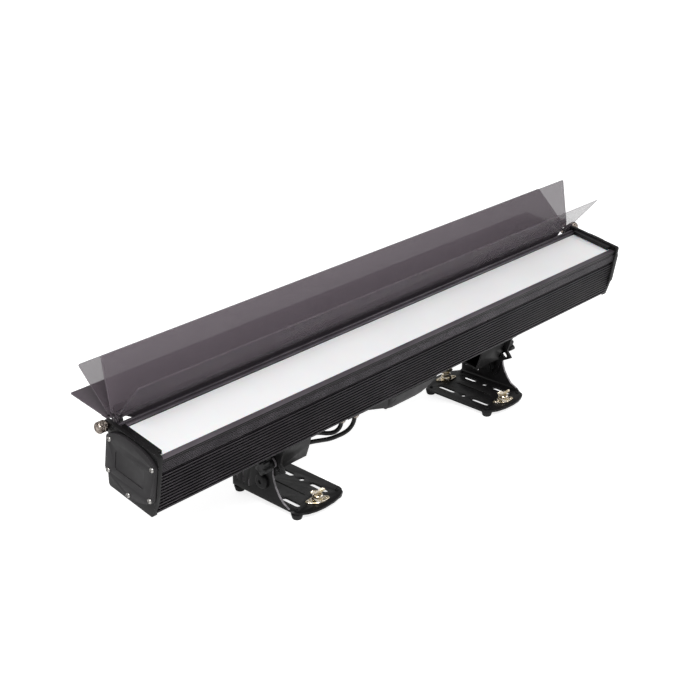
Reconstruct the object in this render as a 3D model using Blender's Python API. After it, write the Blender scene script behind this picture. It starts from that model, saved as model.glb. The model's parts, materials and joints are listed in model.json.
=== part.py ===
"""Linear floodlight: a ribbed batten head with four smoked leaves on two tilting feet.

All sizes are metres, +Z is up and +X runs along the lamp. The world origin lies on the
floor, midway between the two feet and midway from the feet's front edge to the rearmost
leaf's tip. Foot pieces are written from the point of the floor below the tilt axis, head
pieces in head coordinates: x along the lamp, y to its rear, z up from the top of the rim.
"""
import math

import bmesh
import bpy
from mathutils import Matrix, Vector
from mathutils.geometry import tessellate_polygon

# Head
LENGTH = 0.920            # over the two end plates
HALF_BODY = 0.4542        # half length of the extrusion
BODY_HALF_DEPTH = 0.0424
PLATE_HALF_DEPTH = 0.0440
BODY_BOTTOM = -0.0760
FIN_PITCH = 0.00436
FIN_COUNT = 11
FIN_FIRST = -0.0230
FIN_ROOT = 0.0364
CAVITY_HALF = 0.0332
SHELF_Z = -0.0300
# Tilt joint
PIVOT_Z = 0.0380          # tilt axis above the floor
PIVOT_DROP = 0.1490       # tilt axis below the rim
TILT = math.radians(9.4)  # forward lean of the head as photographed
KNOB_Y = -0.0160
KNOB_Z = 0.0690
KNOB_RADIUS = math.hypot(KNOB_Y, KNOB_Z - PIVOT_Z)
SLOT_HALF_SPAN = 38.0     # degrees the tilt slot runs each way from the cheek's top
TILT_STUD = 0.0030        # radius of the tilt knob's stud
# Emitters on the board
EMITTERS = 36
EMITTER_PITCH = 0.0240
# Leaves
HINGE_Y = 0.0484
HINGE_Z = 0.0005
LEAF_REACH = 0.0796
LEAF_HALF = 0.4510
LEAF_THICK = 0.0015
LEAF_EAR = 0.0115         # hinge axis to the leaf's side edges, above the oblique corners
CORNER_RUN = 1.77         # run along the lamp per rise of an oblique lower corner
# Hinge axis to each leaf's lower edge: the upright leaf runs on through the axis
LEAF_ROOTS = {"low": 0.0020, "rear": 0.0046, "upright": -0.0040, "front": 0.0046}
LEAF_ANGLES = {"low": 182.0, "rear": 146.5, "upright": 109.0, "front": 58.5}
LEAF_ORDER = ("low", "rear", "upright", "front")
CLIP_OUTER = 0.4532       # outer face of the first clip on the hinge
CLIP_STEP = 0.0028
CLIP_THICK = 0.0016
CLIP_FLANGE_END = 0.4290
CLIP_TIP = 0.0180         # hinge axis to the clip's outer end
EYE_RADIUS = 0.0040
# Feet
FOOT_OUT = 0.2415         # outer face of the upright
FOOT_IN = 0.1510          # inner edge of the floor plate
FOOT_REACH = 0.0710       # half depth of the floor plate
SHEET = 0.0030
BEND = 0.0055             # outer radius of the bend
PLATE_LOW = 0.0075        # underside of the floor plate
LOCK_X = 0.1965
LOCK_Y = 0.0540
LOCK_TURN = math.radians(-20.0)
PAD_SPOTS = ((0.1595, -0.053), (0.1595, 0.053), (0.2330, -0.053), (0.2330, 0.053))
# Saddles
SADDLE_IN = 0.1785
SADDLE_OUT = 0.2381
CHEEK = 0.0030
# Sockets in the rear wall of the control box: name, x, half width, half height
SOCKETS = (("power_socket", -0.0260, 0.0125, 0.0070), ("data_socket", 0.0100, 0.0085, 0.0070))
SOCKET_Z = -0.0855
# Points round the grips of the thumbscrews and tilt knobs
GRIP_POINTS = 20
# Small gap between pieces that touch
GAP = 0.0003
SIDES = (("left", -1.0), ("right", 1.0))


def clear_scene():
    """Remove every object that the start-up scene holds."""
    for item in list(bpy.data.objects):
        bpy.data.objects.remove(item, do_unlink=True)


def material(name, colour, rough, metal=0.0, alpha=1.0):
    """One Principled material with a plain colour."""
    mat = bpy.data.materials.new(name)
    mat.use_nodes = True
    shader = mat.node_tree.nodes["Principled BSDF"]
    shader.inputs["Base Color"].default_value = (*colour, 1.0)
    shader.inputs["Roughness"].default_value = rough
    shader.inputs["Metallic"].default_value = metal
    shader.inputs["Alpha"].default_value = alpha
    mat.diffuse_color = (*colour, alpha)
    return mat


def make_materials():
    """The finishes of the lamp, by name."""
    return {
        "anodised": material("anodised_black", (0.020, 0.018, 0.020), 0.42, 0.6),
        "painted": material("painted_black", (0.030, 0.029, 0.030), 0.55),
        "cover": material("cover_grey", (0.055, 0.053, 0.055), 0.50),
        "opal": material("opal_diffuser", (0.80, 0.80, 0.80), 0.45),
        "smoked": material("smoked_sheet", (0.12, 0.11, 0.12), 0.12, 0.0, 0.5),
        "dark_steel": material("black_steel", (0.045, 0.045, 0.047), 0.40, 0.8),
        "zinc": material("yellow_zinc", (0.56, 0.42, 0.20), 0.35, 1.0),
        "brass": material("nickel_brass", (0.48, 0.42, 0.32), 0.30, 1.0),
        "rubber": material("black_rubber", (0.016, 0.016, 0.016), 0.80),
        "board": material("white_board", (0.70, 0.70, 0.68), 0.60),
        "module": material("driver_grey", (0.30, 0.30, 0.31), 0.50, 0.3),
        "cable": material("cable_black", (0.012, 0.012, 0.013), 0.50),
    }


def base_shift():
    """Distance from the world origin back to the tilt axis, which centres the lamp."""
    lean = math.pi - math.radians(LEAF_ANGLES["low"]) + TILT
    tip = HINGE_Y * math.cos(TILT) - (HINGE_Z + PIVOT_DROP) * math.sin(TILT)
    tip += LEAF_REACH * math.cos(lean) + 0.5 * LEAF_THICK * math.sin(-lean)
    return 0.5 * (FOOT_REACH - tip)


def base_matrix(x=0.0, y=0.0, z=0.0):
    """Place a point given from the floor below the tilt axis."""
    return Matrix.Translation((x, y + base_shift(), z))


def head_matrix():
    """Place head coordinates in the world, leaning about the tilt axis."""
    return base_matrix(z=PIVOT_Z) @ Matrix.Rotation(TILT, 4, "X")


def leaf_matrix(name):
    """Place a leaf: its local +Y points from the hinge to its free edge."""
    angle = math.pi - math.radians(LEAF_ANGLES[name])
    hinge = Matrix.Translation((0.0, HINGE_Y, HINGE_Z + PIVOT_DROP))
    return head_matrix() @ hinge @ Matrix.Rotation(angle, 4, "X")


def new_object(name, bm, mat, matrix=None, smooth=None):
    """Turn a bmesh into a closed, outward-facing object."""
    bmesh.ops.remove_doubles(bm, verts=bm.verts, dist=1e-7)
    bmesh.ops.recalc_face_normals(bm, faces=bm.faces)
    mesh = bpy.data.meshes.new(name)
    bm.to_mesh(mesh)
    bm.free()
    if smooth is not None:
        mesh.shade_smooth()
        mesh.set_sharp_from_angle(angle=math.radians(smooth))
    mesh.materials.append(mat)
    item = bpy.data.objects.new(name, mesh)
    bpy.context.scene.collection.objects.link(item)
    if matrix is not None:
        item.matrix_world = matrix
    return item


def spot(axis, u, v, w):
    """Point of an outline (u, v) at the height w along an axis."""
    if axis == "X":
        return (w, u, v)
    if axis == "Y":
        return (u, w, v)
    return (u, v, w)


def prism(bm, outline, low, high, axis="X", holes=()):
    """Add a closed prism of a flat outline, with holes through it."""
    loops = [list(outline)] + [list(hole) for hole in holes]
    points = [point for loop in loops for point in loop]
    bottom = [bm.verts.new(spot(axis, u, v, low)) for u, v in points]
    top = [bm.verts.new(spot(axis, u, v, high)) for u, v in points]
    start = 0
    for loop in loops:
        count = len(loop)
        for i in range(count):
            a = start + i
            b = start + (i + 1) % count
            bm.faces.new((bottom[a], bottom[b], top[b], top[a]))
        start += count
    if holes:
        flat = [[Vector((u, v, 0.0)) for u, v in loop] for loop in loops]
        for tri in tessellate_polygon(flat):
            bm.faces.new([bottom[i] for i in tri])
            bm.faces.new([top[i] for i in tri])
    else:
        bm.faces.new(bottom)
        bm.faces.new(top)


def loft(bm, rings):
    """Add a closed body through rings that have equal point counts."""
    rows = [[bm.verts.new(p) for p in ring] for ring in rings]
    for row, nxt in zip(rows, rows[1:]):
        count = len(row)
        for i in range(count):
            j = (i + 1) % count
            bm.faces.new((row[i], row[j], nxt[j], nxt[i]))
    bm.faces.new(rows[0])
    bm.faces.new(rows[-1])


def lathe(bm, profile, centre, axis="X", count=12, flip=1.0):
    """Add a turned body; the profile lists (radius, height) all the way round."""
    rows = []
    cx, cy, cz = centre
    for radius, height in profile:
        if radius < 1e-9:
            angles = (0.0,)
        else:
            angles = [2.0 * math.pi * i / count for i in range(count)]
        row = []
        for angle in angles:
            u = radius * math.cos(angle)
            v = radius * math.sin(angle)
            dx, dy, dz = spot(axis, u, v, flip * height)
            row.append(bm.verts.new((cx + dx, cy + dy, cz + dz)))
        rows.append(row)
    ends = profile[0][0] < 1e-9
    pairs = list(zip(rows, rows[1:]))
    if not ends:
        pairs.append((rows[-1], rows[0]))
    for row, nxt in pairs:
        for i in range(count):
            j = (i + 1) % count
            corners = (row[i % len(row)], row[j % len(row)],
                       nxt[j % len(nxt)], nxt[i % len(nxt)])
            face = list(dict.fromkeys(corners))
            if len(face) > 2:
                bm.faces.new(face)


def circle(u, v, radius, count=12, turn=0.0):
    """Round outline."""
    return [(u + radius * math.cos(turn + 2.0 * math.pi * i / count),
             v + radius * math.sin(turn + 2.0 * math.pi * i / count)) for i in range(count)]


def arc(u, v, radius, start, end, steps):
    """Points of an arc, angles in degrees, both ends included."""
    return [(u + radius * math.cos(math.radians(start + (end - start) * i / steps)),
             v + radius * math.sin(math.radians(start + (end - start) * i / steps)))
            for i in range(steps + 1)]


def long_slot(u1, v1, u2, v2, radius, steps=4):
    """Round-ended slot between two end centres."""
    angle = math.degrees(math.atan2(v2 - v1, u2 - u1))
    return (arc(u2, v2, radius, angle - 90.0, angle + 90.0, steps)
            + arc(u1, v1, radius, angle + 90.0, angle + 270.0, steps))


def curved_slot(radius, half, span, steps=8):
    """Slot along an arc about the tilt axis, reaching span degrees each way from the top."""
    rear = 90.0 - span
    front = 90.0 + span
    outer = arc(0.0, 0.0, radius + half, rear, front, steps)
    inner = arc(0.0, 0.0, radius - half, front, rear, steps)
    ends = []
    for turn, start in ((front, front), (rear, rear + 180.0)):
        angle = math.radians(turn)
        ends.append(arc(radius * math.cos(angle), radius * math.sin(angle), half,
                        start, start + 180.0, 4)[1:-1])
    return outer + ends[0] + inner + ends[1]


def ribbon(points, thick):
    """Outline of a sheet of even thickness that follows a bent centre line."""
    sides = ([], [])
    for i, point in enumerate(points):
        here = Vector(point)
        before = (here - Vector(points[i - 1])).normalized() if i else None
        after = (Vector(points[i + 1]) - here).normalized() if i + 1 < len(points) else None
        first = before or after
        second = after or before
        normal = Vector((-first.y - second.y, first.x + second.x)).normalized()
        reach = 0.5 * thick / max(0.2, normal.dot(Vector((-first.y, first.x))))
        sides[0].append(tuple(here + normal * reach))
        sides[1].append(tuple(here - normal * reach))
    return sides[0] + sides[1][::-1]


def mirror_y(outline):
    """Close a front half outline with its mirror image."""
    return list(outline) + [(-u, v) for u, v in reversed(outline) if abs(u) > 1e-9]


def box_points(u1, v1, u2, v2):
    """Corners of a rectangle."""
    return [(u1, v1), (u2, v1), (u2, v2), (u1, v2)]


def head_z(points):
    """Shift outlines in (y, z) head coordinates to the tilt axis."""
    return [(y, z + PIVOT_DROP) for y, z in points]


def bake(item, tool, operation):
    """Join or cut with a helper object, then drop the helper."""
    change = item.modifiers.new("change", "BOOLEAN")
    change.operation = operation
    change.solver = "EXACT"
    change.object = tool
    graph = bpy.context.evaluated_depsgraph_get()
    mesh = bpy.data.meshes.new_from_object(item.evaluated_get(graph))
    item.modifiers.clear()
    old = item.data
    item.data = mesh
    mesh.name = item.name
    bpy.data.meshes.remove(old)
    bpy.data.objects.remove(tool, do_unlink=True)


def combine(name, base, tool, mat, matrix, operation="UNION", smooth=None):
    """Make one object from two bmesh bodies."""
    item = new_object(name, base, mat, matrix)
    helper = new_object("helper", tool, mat, matrix)
    bpy.context.view_layer.update()
    bake(item, helper, operation)
    tidy = bmesh.new()
    tidy.from_mesh(item.data)
    bmesh.ops.remove_doubles(tidy, verts=tidy.verts, dist=2e-6)
    bmesh.ops.dissolve_limit(tidy, angle_limit=math.radians(0.05), verts=tidy.verts,
                             edges=tidy.edges, delimit={"NORMAL"})
    tidy.to_mesh(item.data)
    tidy.free()
    if smooth is not None:
        item.data.shade_smooth()
        item.data.set_sharp_from_angle(angle=math.radians(smooth))
    return item


def carve(item, cutter, mat):
    """Cut a bmesh body, given in head coordinates, out of a finished object."""
    helper = new_object("helper", cutter, mat, head_matrix())
    bpy.context.view_layer.update()
    bake(item, helper, "DIFFERENCE")


def body_outline():
    """Front half of the extrusion, from the diffuser ledge down to the bottom centre."""
    side = BODY_HALF_DEPTH
    points = [(-CAVITY_HALF, -0.0070), (-0.0380, -0.0070), (-0.0380, -0.0026),
              (-0.0410, -0.0026), (-0.0410, -0.0066), (-side, -0.0072)]
    for i in range(4):
        top = -0.0084 - 0.0023 * i
        points += [(-side, top), (-side + 0.0009, top - 0.0003),
                   (-side + 0.0009, top - 0.0008), (-side, top - 0.0011)]
    points += [(-side, -0.0173), (-0.0396, -0.0177), (-0.0396, -0.0221), (-side, -0.0225)]
    for i in range(FIN_COUNT):
        top = FIN_FIRST - 0.0009 - FIN_PITCH * i
        points += [(-side, top), (-FIN_ROOT, top - 0.0003),
                   (-FIN_ROOT, top - 0.0024), (-side, top - 0.0027)]
    points += [(-side, -0.0722), (-0.0405, -0.0744), (-0.0360, BODY_BOTTOM)]
    return points


def housing_body(mats):
    """Extruded heat sink with the light chamber above a shelf and a tube below it."""
    front = body_outline()
    inner = [(-CAVITY_HALF, SHELF_Z)]
    outline = inner + front
    outline += [(-u, v) for u, v in reversed(outline)]
    tube = mirror_y([(-0.0318, -0.0335), (-0.0332, -0.0350), (-0.0332, -0.0695),
                     (-0.0310, -0.0725)])
    bm = bmesh.new()
    prism(bm, head_z(outline), -HALF_BODY, HALF_BODY, "X", [head_z(tube)])
    tool = bmesh.new()
    for x, y, radius in housing_holes():
        prism(tool, circle(x, y, radius, 12), PIVOT_DROP - 0.080, PIVOT_DROP - 0.071, "Z")
    for side in (-1.0, 1.0):
        for x in rail_screw_spots():
            prism(tool, circle(x, PIVOT_DROP - 0.0199, 0.0018, 8),
                  min(side * 0.036, side * 0.045), max(side * 0.036, side * 0.045), "Y")
    return combine("housing_body", bm, tool, mats["anodised"], head_matrix(), "DIFFERENCE")


def rail_screw_spots():
    """Places of the four screws along each long side."""
    return (-0.419, -0.142, 0.142, 0.419)


def saddle_screw_spots():
    """Places (x, y) of the screws that hold the saddles to the housing."""
    return [(sx * x, sy * 0.0262) for sx in (-1, 1) for sy in (-1, 1)
            for x in (0.1900, 0.2250)]


def housing_gland_spots():
    """Places (x, y) where the two cables enter the housing."""
    return ((-0.2130, -0.0085), (-0.2150, 0.0085))


def housing_holes():
    """Holes in the bottom wall: x, y and radius."""
    holes = [(x, y, 0.0021) for x, y in saddle_screw_spots()]
    holes += [(x, y, 0.0046) for x, y in housing_gland_spots()]
    return holes


def retainers(mats):
    """The two bars that clamp the diffuser along its long edges."""
    front = [(-0.0330, -0.0023), (-0.0330, -0.0007), (-0.0337, 0.0), (-0.0408, 0.0),
             (-0.0418, -0.0004), (-0.0424, -0.0012), (-0.0424, -0.0023)]
    rear = [(0.0330, -0.0023), (0.0424, -0.0023), (0.0424, 0.0014), (0.0410, 0.0026),
            (0.0392, 0.0026), (0.0384, 0.0018), (0.0384, 0.0002), (0.0366, 0.0002),
            (0.0366, 0.0010), (0.0337, 0.0010), (0.0330, 0.0003)]
    for name, outline in (("retainer_front", front), ("retainer_rear", rear)):
        bm = bmesh.new()
        prism(bm, head_z(outline), -0.4538, 0.4538)
        new_object(name, bm, mats["anodised"], head_matrix())


def diffuser(mats):
    """Opal panel with a raised window, and the gasket frame below it."""
    bm = bmesh.new()
    outline = mirror_y([(-0.0376, -0.0054), (-0.0376, -0.0027), (-0.0326, -0.0027),
                        (-0.0322, -0.0012)])
    prism(bm, head_z(outline), -0.4534, 0.4534)
    new_object("diffuser_panel", bm, mats["opal"], head_matrix())
    bm = bmesh.new()
    frame = box_points(-0.4534, -0.0376, 0.4534, 0.0376)
    window = box_points(-0.4470, -0.0336, 0.4470, 0.0336)
    prism(bm, frame, PIVOT_DROP - 0.0067, PIVOT_DROP - 0.0057, "Z", [window])
    new_object("diffuser_gasket", bm, mats["rubber"], head_matrix())


def light_engine(mats):
    """White tray folded from one sheet, and the board with its row of emitters."""
    floor = SHELF_Z + GAP + 0.0004
    line = mirror_y([(-0.0324, -0.0085), (-0.0310, -0.0120), (-0.0205, floor)])
    bm = bmesh.new()
    prism(bm, head_z(ribbon(line, 0.0008)), -0.4450, 0.4450)
    new_object("light_tray", bm, mats["board"], head_matrix())
    low = PIVOT_DROP + floor + 0.0004 + GAP
    base = bmesh.new()
    holes = [circle(x, 0.0, 0.0019, 8) for x in (-0.432, -0.216, 0.0, 0.216, 0.432)]
    prism(base, box_points(-0.4400, -0.0130, 0.4400, 0.0130), low, low + 0.0016, "Z", holes)
    tool = bmesh.new()
    for i in range(EMITTERS):
        x = EMITTER_PITCH * (i - 0.5 * (EMITTERS - 1))
        loft(tool, [[(x + sx * half, sy * half, low + height)
                     for sx, sy in ((-1, -1), (1, -1), (1, 1), (-1, 1))]
                    for half, height in ((0.0026, 0.0012), (0.0026, 0.0025), (0.0017, 0.0032))])
    combine("led_board", base, tool, mats["board"], head_matrix())


def driver_module(mats):
    """Power driver in the tube under the shelf: a ribbed case on two fixing flanges."""
    half = [(-0.0306, -0.0718), (-0.0306, -0.0700), (-0.0285, -0.0690), (-0.0285, -0.0440),
            (-0.0270, -0.0425)]
    for y in (-0.0195, -0.0065):
        half += [(y - 0.0035, -0.0425), (y - 0.0030, -0.0408), (y + 0.0030, -0.0408),
                 (y + 0.0035, -0.0425)]
    bm = bmesh.new()
    prism(bm, head_z(mirror_y(half)), -0.1500, 0.1500)
    new_object("driver_module", bm, mats["module"], head_matrix())


def end_outline():
    """End plate outline in head (y, z), with the hinge ear at its upper rear."""
    half = PLATE_HALF_DEPTH
    front = [(-half + 0.0025, 0.0065), (-half + 0.0007, 0.0058), (-half, 0.0040),
             (-half, -0.0500), (-0.0422, -0.0640), (-0.0400, -0.0772), (-0.0375, -0.0795)]
    rear = [(-u, v) for u, v in reversed(front[3:])]
    ear = [(half, -0.0090)] + arc(HINGE_Y, HINGE_Z, 0.0062, -50.0, 75.0, 6)
    return front + rear + ear + [(0.0440, 0.0065)]


def cover_screw_spots():
    """Places (y, z) of the five screws in each end cover."""
    return ((-0.0378, -0.0115), (0.0378, -0.0115), (-0.0372, -0.0548), (0.0372, -0.0548),
            (0.0, -0.0690))


def end_plates(mats):
    """End plates, each with a ledge that closes the diffuser frame."""
    for label, side in SIDES:
        holes = [circle(y, z, 0.0017, 8) for y, z in cover_screw_spots()]
        holes += [circle(y, 0.0028, 0.0014, 8) for y in (-0.0385, 0.0385)]
        holes.append(circle(HINGE_Y, HINGE_Z, 0.0026, 10))
        bm = bmesh.new()
        inner = side * (HALF_BODY + GAP)
        outer = side * 0.5 * LENGTH
        prism(bm, head_z(end_outline()), min(inner, outer), max(inner, outer), "X",
              [head_z(hole) for hole in holes])
        tool = bmesh.new()
        ledge = [(-0.0324, 0.0003), (-0.0324, 0.0050), (0.0324, 0.0050), (0.0324, 0.0003)]
        prism(tool, head_z(ledge), min(side * 0.4462, inner + side * 0.001),
              max(side * 0.4462, inner + side * 0.001))
        combine("end_plate_" + label, bm, tool, mats["painted"], head_matrix())


def cover_outline():
    """End cover: a rounded shield with a tab round the lowest screw."""
    half = [(0.0, 0.0050), (-0.0110, 0.0048), (-0.0210, 0.0034), (-0.0305, 0.0006),
            (-0.0385, -0.0038), (-0.0422, -0.0068), (-0.0432, -0.0095), (-0.0432, -0.0520),
            (-0.0418, -0.0560), (-0.0330, -0.0622), (-0.0220, -0.0672), (-0.0105, -0.0708),
            (-0.0060, -0.0722), (-0.0045, -0.0745)]
    return half + [(-u, v) for u, v in reversed(half[1:])]


def end_covers(mats):
    """Raised end covers with a shallow blank panel."""
    for label, side in SIDES:
        low = 0.5 * LENGTH + GAP
        high = low + 0.0040
        bm = bmesh.new()
        holes = [circle(y, z, 0.0017, 8) for y, z in cover_screw_spots()]
        prism(bm, head_z(cover_outline()), min(side * low, side * high),
              max(side * low, side * high), "X", [head_z(hole) for hole in holes])
        tool = bmesh.new()
        panel = [(-0.0255, -0.0440), (-0.0240, -0.0458), (0.0240, -0.0458), (0.0255, -0.0440),
                 (0.0255, -0.0215), (0.0240, -0.0200), (-0.0240, -0.0200), (-0.0255, -0.0215)]
        deep = side * (high - 0.0007)
        prism(tool, head_z(panel), min(deep, side * (high + 0.002)),
              max(deep, side * (high + 0.002)))
        combine("end_cover_" + label, bm, tool, mats["cover"], head_matrix(), "DIFFERENCE")


def thumbscrews(mats):
    """Knurled screws that clamp the leaves, one at each end of the hinge."""
    matrix = head_matrix() @ Matrix.Translation((0.0, HINGE_Y, HINGE_Z + PIVOT_DROP))
    for label, side in SIDES:
        bm = bmesh.new()
        rings = []
        shape = ((0.4376, 0.0023, 0.0), (0.4603, 0.0023, 0.0), (0.46031, 0.0046, 0.0),
                 (0.4618, 0.0046, 0.0), (0.46181, 0.0066, 0.0), (0.4624, 0.0072, 1.0),
                 (0.4726, 0.0072, 1.0), (0.4733, 0.0064, 0.0), (0.47331, 0.0040, 0.0),
                 (0.4725, 0.0036, 0.0))
        for x, radius, knurl in shape:
            ring = []
            for i in range(GRIP_POINTS):
                angle = 2.0 * math.pi * i / GRIP_POINTS
                r = radius - (0.0006 * knurl if i % 2 else 0.0)
                ring.append((side * x, r * math.cos(angle), r * math.sin(angle)))
            rings.append(ring)
        loft(bm, rings)
        new_object("thumbscrew_" + label, bm, mats["brass"], matrix, 30.0)


def hinge_nuts(mats):
    """Hexagon nut at the inner end of each thumbscrew."""
    matrix = head_matrix() @ Matrix.Translation((0.0, HINGE_Y, HINGE_Z + PIVOT_DROP))
    for label, side in SIDES:
        bm = bmesh.new()
        ends = sorted((side * 0.4385, side * 0.4426))
        prism(bm, circle(0.0, 0.0, 0.0040, 6), ends[0], ends[1], "X",
              [circle(0.0, 0.0, 0.0026, 8)])
        new_object("hinge_nut_" + label, bm, mats["dark_steel"], matrix)


def leaf(name, mats):
    """One smoked leaf: a plain sheet, its lower corners cut obliquely for the hinge clips."""
    corner = 0.0020
    root = LEAF_ROOTS[name]
    right = [(LEAF_HALF - CORNER_RUN * (LEAF_EAR - root), root), (LEAF_HALF, LEAF_EAR)]
    right += arc(LEAF_HALF - corner, LEAF_REACH - corner, corner, 0.0, 90.0, 2)
    outline = right + [(-u, v) for u, v in reversed(right)]
    bm = bmesh.new()
    prism(bm, outline, -0.5 * LEAF_THICK, 0.5 * LEAF_THICK, "Z")
    new_object("leaf_" + name, bm, mats["smoked"], leaf_matrix(name))


def leaf_clips(name, mats):
    """The two clips that carry one leaf: a flat eye, an arm and a flange on the sheet."""
    near = CLIP_OUTER - CLIP_STEP * LEAF_ORDER.index(name)
    low = 0.5 * LEAF_THICK + GAP
    top = low + 0.0013
    start = math.degrees(math.asin(top / EYE_RADIUS))
    end = 360.0 + math.degrees(math.asin(low / EYE_RADIUS))
    outline = arc(0.0, 0.0, EYE_RADIUS, start, end, 10) + [(CLIP_TIP, low), (CLIP_TIP, top)]
    flange = box_points(LEAF_EAR + 0.0002, low, CLIP_TIP, top)
    for label, side in SIDES:
        base = bmesh.new()
        ends = sorted((side * near, side * (near - CLIP_THICK)))
        prism(base, outline, ends[0], ends[1], "X", [circle(0.0, 0.0, 0.0026, 8)])
        tool = bmesh.new()
        ends = sorted((side * (near - 0.0004), side * CLIP_FLANGE_END))
        prism(tool, flange, ends[0], ends[1])
        combine("clip_" + name + "_" + label, base, tool, mats["painted"], leaf_matrix(name))


def saddle_section():
    """Section of the saddle: a trough hung from two thick flanges, open between them."""
    outer = [(-0.0161, 0.0726), (-0.0330, 0.0726), (-0.0330, 0.0660), (-0.0185, 0.0660),
             (-0.0185, 0.0570), (-0.0172, 0.0400), (-0.0138, 0.0193)]
    inner = [(-0.0118, 0.0217), (-0.0148, 0.0400), (-0.0161, 0.0570)]
    return (outer + [(-u, v) for u, v in reversed(outer)]
            + [(-u, v) for u, v in reversed(inner)] + inner)


def cheek_outline():
    """End plate of the saddle: a round foot on the tilt bolt and a fan for the slot."""
    lobe = arc(0.0, 0.0, 0.0148, 270.0, 180.0, 6)
    fan = arc(0.0, 0.0, 0.0432, 90.0 + 49.0, 90.0 + 33.0, 3)
    return mirror_y(lobe + [(-0.0148, 0.0130), (-0.0215, 0.0195)] + fan
                    + [(-0.0262, 0.0560), (-0.0296, 0.0690)])


def saddle(label, side, mats):
    """Saddle under the housing, with the slotted cheek that the tilt knob clamps."""
    inner = SADDLE_OUT - CHEEK
    base = bmesh.new()
    ends = sorted((side * SADDLE_IN, side * (SADDLE_OUT - 0.0010)))
    prism(base, saddle_section(), ends[0], ends[1])
    tool = bmesh.new()
    ends = sorted((side * inner, side * SADDLE_OUT))
    prism(tool, cheek_outline(), ends[0], ends[1], "X", [circle(0.0, 0.0, 0.0053, 12)])
    item = combine("saddle_" + label, base, tool, mats["painted"], head_matrix())
    cut = bmesh.new()
    ends = sorted((side * (inner - 0.0050), side * inner))
    prism(cut, box_points(-0.046, 0.0223, 0.046, 0.0440), ends[0], ends[1])
    for x, y in saddle_screw_spots():
        if x * side > 0.0:
            prism(cut, circle(x, y, 0.0020, 8), 0.0640, 0.0740, "Z")
    carve(item, cut, mats["painted"])
    cut = bmesh.new()
    ends = sorted((side * (inner - 0.0010), side * (SADDLE_OUT + 0.0010)))
    prism(cut, curved_slot(KNOB_RADIUS, TILT_STUD + GAP, SLOT_HALF_SPAN), ends[0], ends[1])
    carve(item, cut, mats["painted"])


def upright_outline():
    """Edge of the upright as (height above the floor, y), front foot to rear foot."""
    front = [(0.0130, -0.0465), (0.0180, -0.0360), (0.0255, -0.0290), (0.0340, -0.0235),
             (0.0430, -0.0198), (0.0530, -0.0180), (0.0620, -0.0182), (0.0648, -0.0222),
             (0.0690, -0.0238), (0.0735, -0.0224), (0.0770, -0.0180), (0.0795, -0.0080)]
    top = [(0.0800, 0.0020), (0.0775, 0.0150), (0.0715, 0.0265), (0.0625, 0.0350),
           (0.0530, 0.0392), (0.0480, 0.0425), (0.0470, 0.0500), (0.0440, 0.0552),
           (0.0380, 0.0575), (0.0130, 0.0575)]
    return front + top


def foot_pattern():
    """Flat pattern of a foot: s runs from the inner plate edge over the bend."""
    flat = FOOT_OUT - BEND - FOOT_IN
    bend = (BEND - 0.5 * SHEET) * 0.5 * math.pi
    plate = [(0.1510, 0.0500), (0.1530, 0.0560), (0.1590, 0.0620), (0.1680, 0.0668),
             (0.1820, 0.0700), (0.2000, FOOT_REACH), (0.2140, 0.0697), (0.2260, 0.0660),
             (0.2355, 0.0595)]
    front = [(x - FOOT_IN, -y) for x, y in plate]
    rear = [(x - FOOT_IN, y) for x, y in reversed(plate)]
    shift = flat + bend - (PLATE_LOW + BEND)
    side = [(z + shift, y) for z, y in upright_outline()]
    holes = []
    for x in (0.1710, 0.2220):
        for sign in (-1.0, 1.0):
            s = x - FOOT_IN
            holes.append(long_slot(s, sign * 0.0195, s, sign * 0.0435, 0.0040))
        holes.append(circle(x - FOOT_IN, 0.0, 0.0042, 12))
    holes.append(long_slot(0.1978 - FOOT_IN, -0.0320, 0.1978 - FOOT_IN, 0.0320, 0.0014, 3))
    for sign in (-1.0, 1.0):
        holes.append(circle(LOCK_X - FOOT_IN, sign * LOCK_Y, 0.0068, 14))
    holes.append(circle(PIVOT_Z + shift, 0.0, 0.0053, 14))
    holes.append(circle(KNOB_Z + shift, KNOB_Y, 0.0034, 10))
    for y, low, high in ((0.0490, 0.0220, 0.0300), (0.0365, 0.0210, 0.0390),
                         (0.0265, 0.0200, 0.0300)):
        holes.append(long_slot(low + shift, y, high + shift, y, 0.0015, 3))
    return front + side + rear, holes, flat, bend


def foot(label, side, mats):
    """Foot folded from one sheet, slotted plate and curved upright, on four pads."""
    outline, holes, flat, bend = foot_pattern()
    bm = bmesh.new()
    prism(bm, outline, 0.0, SHEET, "Z", holes)
    steps = 6
    for i in range(steps + 1):
        geometry = bm.verts[:] + bm.edges[:] + bm.faces[:]
        bmesh.ops.bisect_plane(bm, geom=geometry, plane_co=(flat + bend * i / steps, 0, 0),
                               plane_no=(1, 0, 0), dist=1e-6)
    centre_x = FOOT_OUT - BEND
    centre_z = PLATE_LOW + BEND
    for vert in bm.verts:
        s, y, w = vert.co
        if s <= flat + 1e-7:
            x = FOOT_IN + s
            z = PLATE_LOW + w
        elif s >= flat + bend - 1e-7:
            x = FOOT_OUT - w
            z = centre_z + s - flat - bend
        else:
            angle = (s - flat) / bend * 0.5 * math.pi
            x = centre_x + (BEND - w) * math.sin(angle)
            z = centre_z - (BEND - w) * math.cos(angle)
        vert.co = (side * x, y, z)
    pads = bmesh.new()
    for x, y in PAD_SPOTS:
        lathe(pads, [(0.0, 0.0), (0.0054, 0.0), (0.0062, 0.0008), (0.0078, 0.0070),
                     (0.0078, PLATE_LOW + 0.0005), (0.0, PLATE_LOW + 0.0005)],
              (side * x, y, 0.0), "Z", 12)
    return combine("foot_" + label, bm, pads, mats["painted"], base_matrix())


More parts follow.
